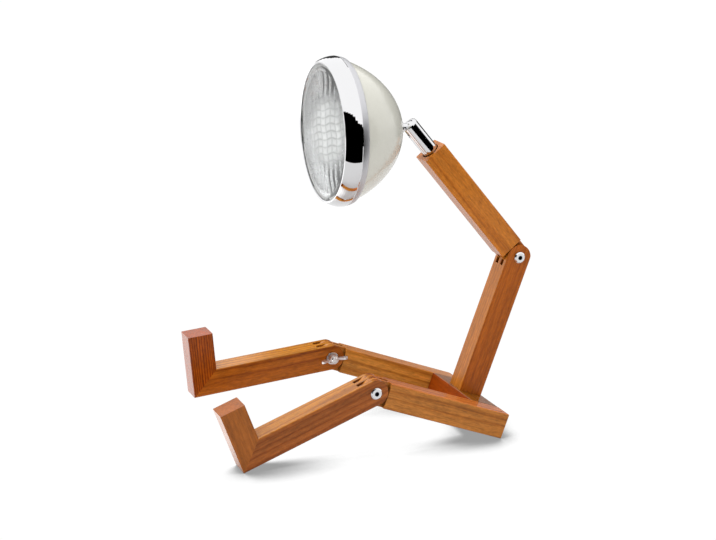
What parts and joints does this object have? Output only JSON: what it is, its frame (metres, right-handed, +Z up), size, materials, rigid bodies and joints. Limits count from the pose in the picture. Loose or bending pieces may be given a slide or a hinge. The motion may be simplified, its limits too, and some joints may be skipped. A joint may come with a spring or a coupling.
{
  "type": "desk lamp",
  "caption": "Sitting robot-shaped desk lamp: timber legs, torso and arm on wing-nut knuckle joints, a slotted ball swivel neck and a headlamp-shaped head.",
  "frame": {"origin": "on the table, under the middle of the lamp's width and length as it sits", "axes": "+Z up, the lamp looks along -Y, its left side is +X"},
  "size_m": [0.1492, 0.3422, 0.3725],
  "materials": {
    "wood": "oiled, satin",
    "dowel": "plain",
    "chrome": "polished",
    "steel": "zinc plated",
    "brass": "turned",
    "enamel": "gloss enamel",
    "reflector": "polished",
    "lens_glass": "pressed, clear",
    "bulb_glass": "frosted",
    "rubber": "matt",
    "black_plastic": "moulded",
    "ceramic": "glazed steatite"
  },
  "bodies": {
    "frame": {"left_thigh": "wood", "right_thigh": "wood", "hip_bar": "wood", "hip_dowels": "dowel", "torso": "wood", "torso_dowels": "dowel", "elbow_bolt": "chrome", "elbow_washer": "chrome"},
    "left_leg": {"left_shin": "wood", "left_foot": "wood", "left_foot_dowels": "dowel", "left_knee_bolt": "chrome", "left_knee_washer": "chrome"},
    "right_leg": {"right_shin": "wood", "right_foot": "wood", "right_foot_dowels": "dowel", "right_knee_bolt": "chrome", "right_knee_washer": "chrome"},
    "left_wing": {"left_knee_wing_nut": "chrome"},
    "right_wing": {"right_knee_wing_nut": "chrome"},
    "elbow_wing": {"elbow_wing_nut": "chrome"},
    "arm": {"upper_arm": "wood", "neck_nipple": "brass", "cord_bush": "black_plastic"},
    "neck": {"neck_tube": "chrome", "disc_springs": "steel", "ball_seat": "brass"},
    "swivel": {"ball_stud": "chrome", "stud_nut": "steel"},
    "head": {"head_shell": "enamel", "holder_bracket": "steel", "lamp_holder": "ceramic", "bulb": "bulb_glass", "reflector": "reflector", "lens_gasket": "rubber", "lens": "lens_glass", "rim_clips": "steel", "chrome_rim": "chrome"}
  },
  "joints": [
    {"name": "left_knee", "type": "hinge", "parent": "frame", "child": "left_leg", "pos_m": [0.0595, -0.0179, 0.06249], "axis": [1, 0, 0], "range_deg": [-131, 49]},
    {"name": "right_knee", "type": "hinge", "parent": "frame", "child": "right_leg", "pos_m": [-0.0595, -0.0179, 0.06249], "axis": [1, 0, 0], "range_deg": [-115.5, 64.5]},
    {"name": "elbow", "type": "hinge", "parent": "frame", "child": "arm", "pos_m": [0, 0.15856, 0.16466], "axis": [1, 0, 0], "range_deg": [-150, 30]},
    {"name": "neck_turn", "type": "hinge", "parent": "arm", "child": "neck", "pos_m": [0, 0.06632, 0.27655], "axis": [0, -0.6361, 0.7716], "range_deg": [-150, 150]},
    {"name": "head_tilt", "type": "hinge", "parent": "neck", "child": "swivel", "pos_m": [0, 0.04597, 0.30124], "axis": [0.9996, -0.0229, -0.0189], "range_deg": [-50, 42]},
    {"name": "head_twist", "type": "hinge", "parent": "swivel", "child": "head", "pos_m": [0, 0.04597, 0.30124], "axis": [-0.0229, -0.9997, 0.0002], "range_deg": [-170, 170]},
    {"name": "left_wing_nut", "type": "hinge", "parent": "left_leg", "child": "left_wing", "pos_m": [0.0595, -0.0179, 0.06249], "axis": [1, 0, 0], "continuous": true},
    {"name": "right_wing_nut", "type": "hinge", "parent": "right_leg", "child": "right_wing", "pos_m": [-0.0595, -0.0179, 0.06249], "axis": [1, 0, 0], "continuous": true},
    {"name": "elbow_wing_nut", "type": "hinge", "parent": "frame", "child": "elbow_wing", "pos_m": [0, 0.15856, 0.16466], "axis": [1, 0, 0], "continuous": true}
  ]
}
